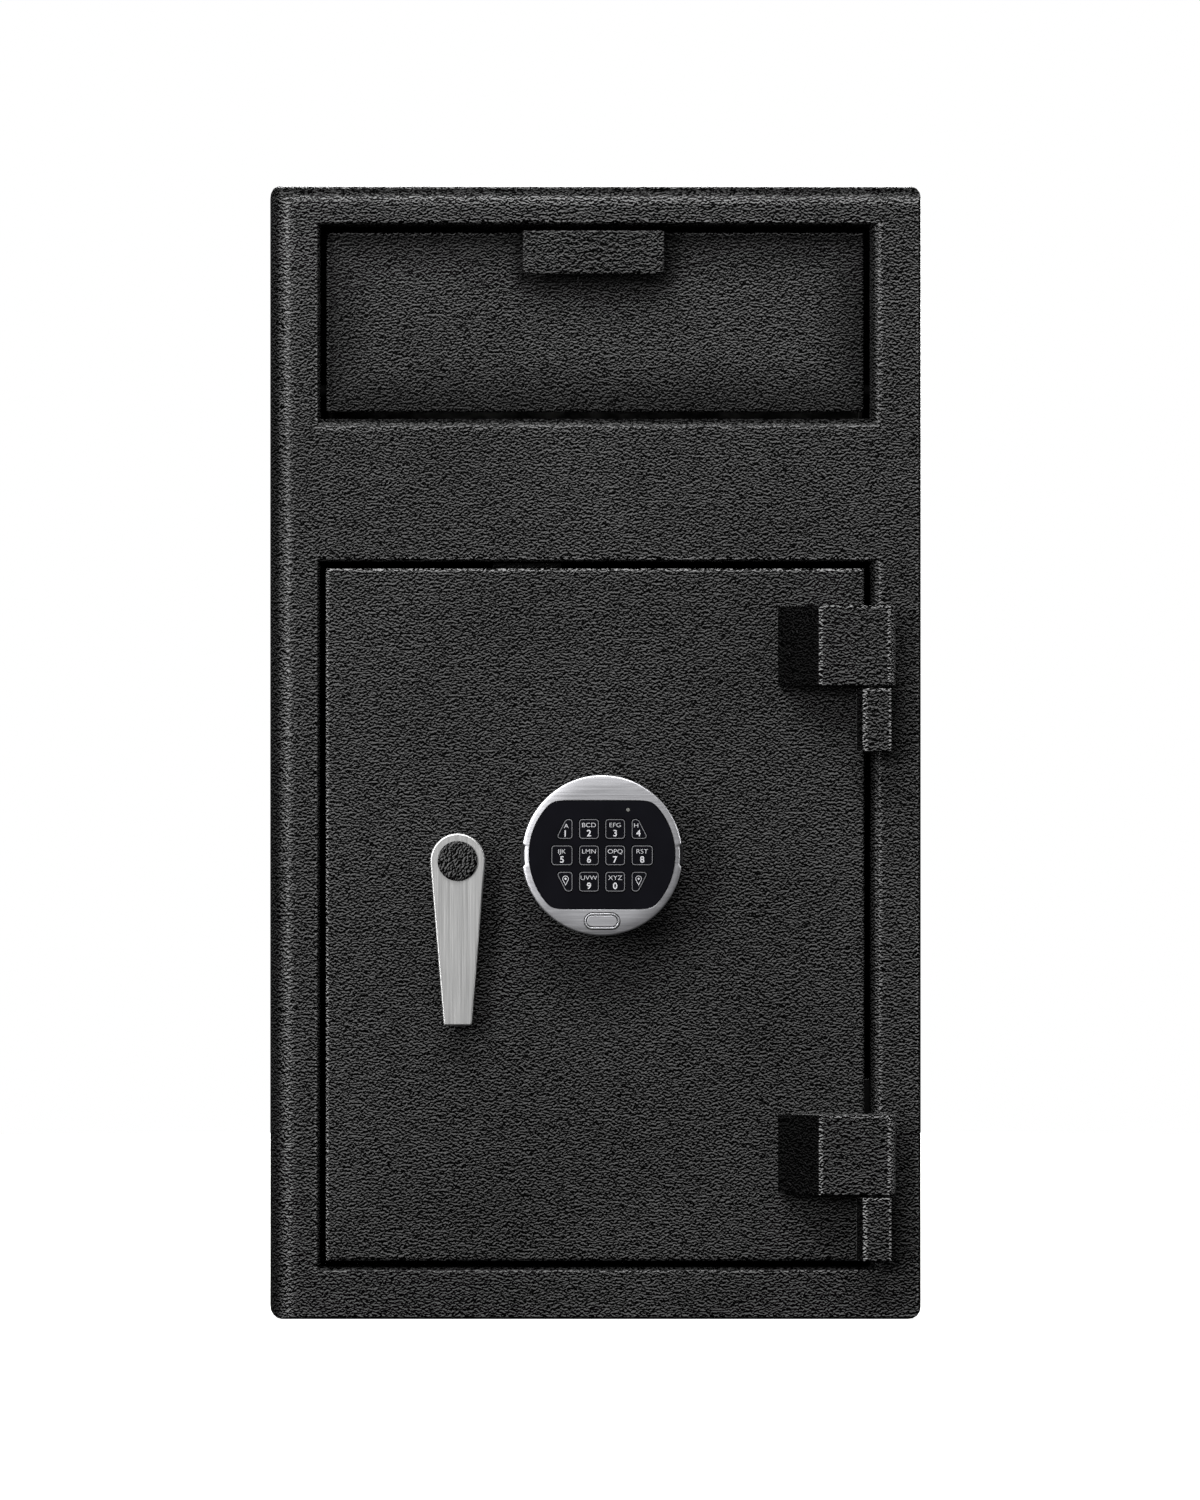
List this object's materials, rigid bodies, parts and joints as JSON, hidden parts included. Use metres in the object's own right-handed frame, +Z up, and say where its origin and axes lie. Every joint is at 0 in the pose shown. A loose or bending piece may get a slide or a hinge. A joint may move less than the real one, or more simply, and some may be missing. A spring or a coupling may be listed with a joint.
{
  "type": "depository safe",
  "caption": "Front-loading depository safe with a tilting deposit hopper, hinged door, electronic keypad lock and lever handle.",
  "frame": {"origin": "centre of the body's base, on the surface that it stands on", "axes": "+X to the right seen from the front, +Y from the front face to the back, +Z up"},
  "size_m": [0.381, 0.4396, 0.6635],
  "materials": {
    "textured_paint": "black textured powder coat",
    "plated_sheet": "zinc plated sheet",
    "die_cast": "die cast, satin",
    "machined_steel": "turned and ground steel",
    "brushed_lever": "brushed lengthwise",
    "satin_chrome": "satin chrome",
    "black_plastic": "matt moulded",
    "gloss_face": "polished black",
    "key_plastic": "smooth, printed legends",
    "led_lens": "clear lens, unlit"
  },
  "bodies": {
    "safe_body": {"front_frame": "textured_paint", "body_wrap": "textured_paint", "back_panel": "textured_paint", "hinge_knuckle_upper": "textured_paint", "hinge_knuckle_lower": "textured_paint", "hinge_pin_upper": "machined_steel", "hinge_pin_lower": "machined_steel", "hinge_washer_upper": "machined_steel", "hinge_washer_lower": "machined_steel", "door_stop": "textured_paint", "hopper_cheek_left": "plated_sheet", "hopper_cheek_right": "plated_sheet", "hopper_rear_baffle": "plated_sheet", "chute_floor": "plated_sheet", "hopper_pivot_left": "machined_steel", "hopper_pivot_right": "machined_steel"},
    "hopper": {"hopper_front": "textured_paint", "hopper_handle": "textured_paint", "hopper_tray": "plated_sheet", "hopper_side_left": "plated_sheet", "hopper_side_right": "plated_sheet"},
    "door": {"door_plate": "textured_paint", "hinge_leaf_upper": "textured_paint", "hinge_leaf_lower": "textured_paint", "bolt_guide_outer": "plated_sheet", "bolt_guide_inner": "plated_sheet", "dead_bolt_upper": "machined_steel", "dead_bolt_lower": "machined_steel", "hard_plate": "machined_steel", "lock_case": "die_cast", "lock_cover": "plated_sheet", "lock_solenoid": "machined_steel", "handle_bushing": "machined_steel", "keypad_base": "black_plastic", "keypad_bezel": "satin_chrome", "keypad_badge": "satin_chrome", "keypad_face": "gloss_face", "led_lens": "led_lens", "battery": "black_plastic", "keypad_cable": "black_plastic"},
    "handle": {"lever_handle": "brushed_lever", "handle_cap": "textured_paint", "handle_spindle": "machined_steel"},
    "bolt_work": {"bolt_carriage": "plated_sheet", "live_bolt_upper": "machined_steel", "live_bolt_middle": "machined_steel", "live_bolt_lower": "machined_steel"},
    "lock_bolt": {"lock_bolt": "machined_steel"},
    "key_1": {"key_1": "key_plastic"},
    "key_2": {"key_2": "key_plastic"},
    "key_3": {"key_3": "key_plastic"},
    "key_4": {"key_4": "key_plastic"},
    "key_5": {"key_5": "key_plastic"},
    "key_6": {"key_6": "key_plastic"},
    "key_7": {"key_7": "key_plastic"},
    "key_8": {"key_8": "key_plastic"},
    "key_9": {"key_9": "key_plastic"},
    "key_0": {"key_0": "key_plastic"},
    "key_left": {"key_left": "key_plastic"},
    "key_right": {"key_right": "key_plastic"}
  },
  "joints": [
    {"name": "door_swing", "type": "hinge", "parent": "safe_body", "child": "door", "pos_m": [0.1627, -0.217, 0.2], "axis": [0, 0, 1], "range_deg": [0, 170]},
    {"name": "hopper_tilt", "type": "hinge", "parent": "safe_body", "child": "hopper", "pos_m": [0, -0.1815, 0.543], "axis": [1, 0, 0], "range_deg": [0, 50]},
    {"name": "handle_turn", "type": "hinge", "parent": "door", "child": "handle", "pos_m": [-0.0801, -0.203, 0.2682], "axis": [0, 1, 0], "range_deg": [0, 90]},
    {"name": "bolt_throw", "type": "slide", "parent": "door", "child": "bolt_work", "axis": [-1, 0, 0], "range_m": [0, 0.02]},
    {"name": "lock_bolt_slide", "type": "slide", "parent": "door", "child": "lock_bolt", "axis": [0, 0, -1], "range_m": [0, 0.009]},
    {"name": "key_1_press", "type": "slide", "parent": "door", "child": "key_1", "axis": [0, 1, 0], "range_m": [0, 0.001], "stiffness_N_per_m": 300},
    {"name": "key_2_press", "type": "slide", "parent": "door", "child": "key_2", "axis": [0, 1, 0], "range_m": [0, 0.001], "stiffness_N_per_m": 300},
    {"name": "key_3_press", "type": "slide", "parent": "door", "child": "key_3", "axis": [0, 1, 0], "range_m": [0, 0.001], "stiffness_N_per_m": 300},
    {"name": "key_4_press", "type": "slide", "parent": "door", "child": "key_4", "axis": [0, 1, 0], "range_m": [0, 0.001], "stiffness_N_per_m": 300},
    {"name": "key_5_press", "type": "slide", "parent": "door", "child": "key_5", "axis": [0, 1, 0], "range_m": [0, 0.001], "stiffness_N_per_m": 300},
    {"name": "key_6_press", "type": "slide", "parent": "door", "child": "key_6", "axis": [0, 1, 0], "range_m": [0, 0.001], "stiffness_N_per_m": 300},
    {"name": "key_7_press", "type": "slide", "parent": "door", "child": "key_7", "axis": [0, 1, 0], "range_m": [0, 0.001], "stiffness_N_per_m": 300},
    {"name": "key_8_press", "type": "slide", "parent": "door", "child": "key_8", "axis": [0, 1, 0], "range_m": [0, 0.001], "stiffness_N_per_m": 300},
    {"name": "key_9_press", "type": "slide", "parent": "door", "child": "key_9", "axis": [0, 1, 0], "range_m": [0, 0.001], "stiffness_N_per_m": 300},
    {"name": "key_0_press", "type": "slide", "parent": "door", "child": "key_0", "axis": [0, 1, 0], "range_m": [0, 0.001], "stiffness_N_per_m": 300},
    {"name": "key_left_press", "type": "slide", "parent": "door", "child": "key_left", "axis": [0, 1, 0], "range_m": [0, 0.001], "stiffness_N_per_m": 300},
    {"name": "key_right_press", "type": "slide", "parent": "door", "child": "key_right", "axis": [0, 1, 0], "range_m": [0, 0.001], "stiffness_N_per_m": 300}
  ],
  "couplings": [
    {"joint": "bolt_throw", "follows": "handle_turn", "m_per_rad": 0.01273}
  ]
}
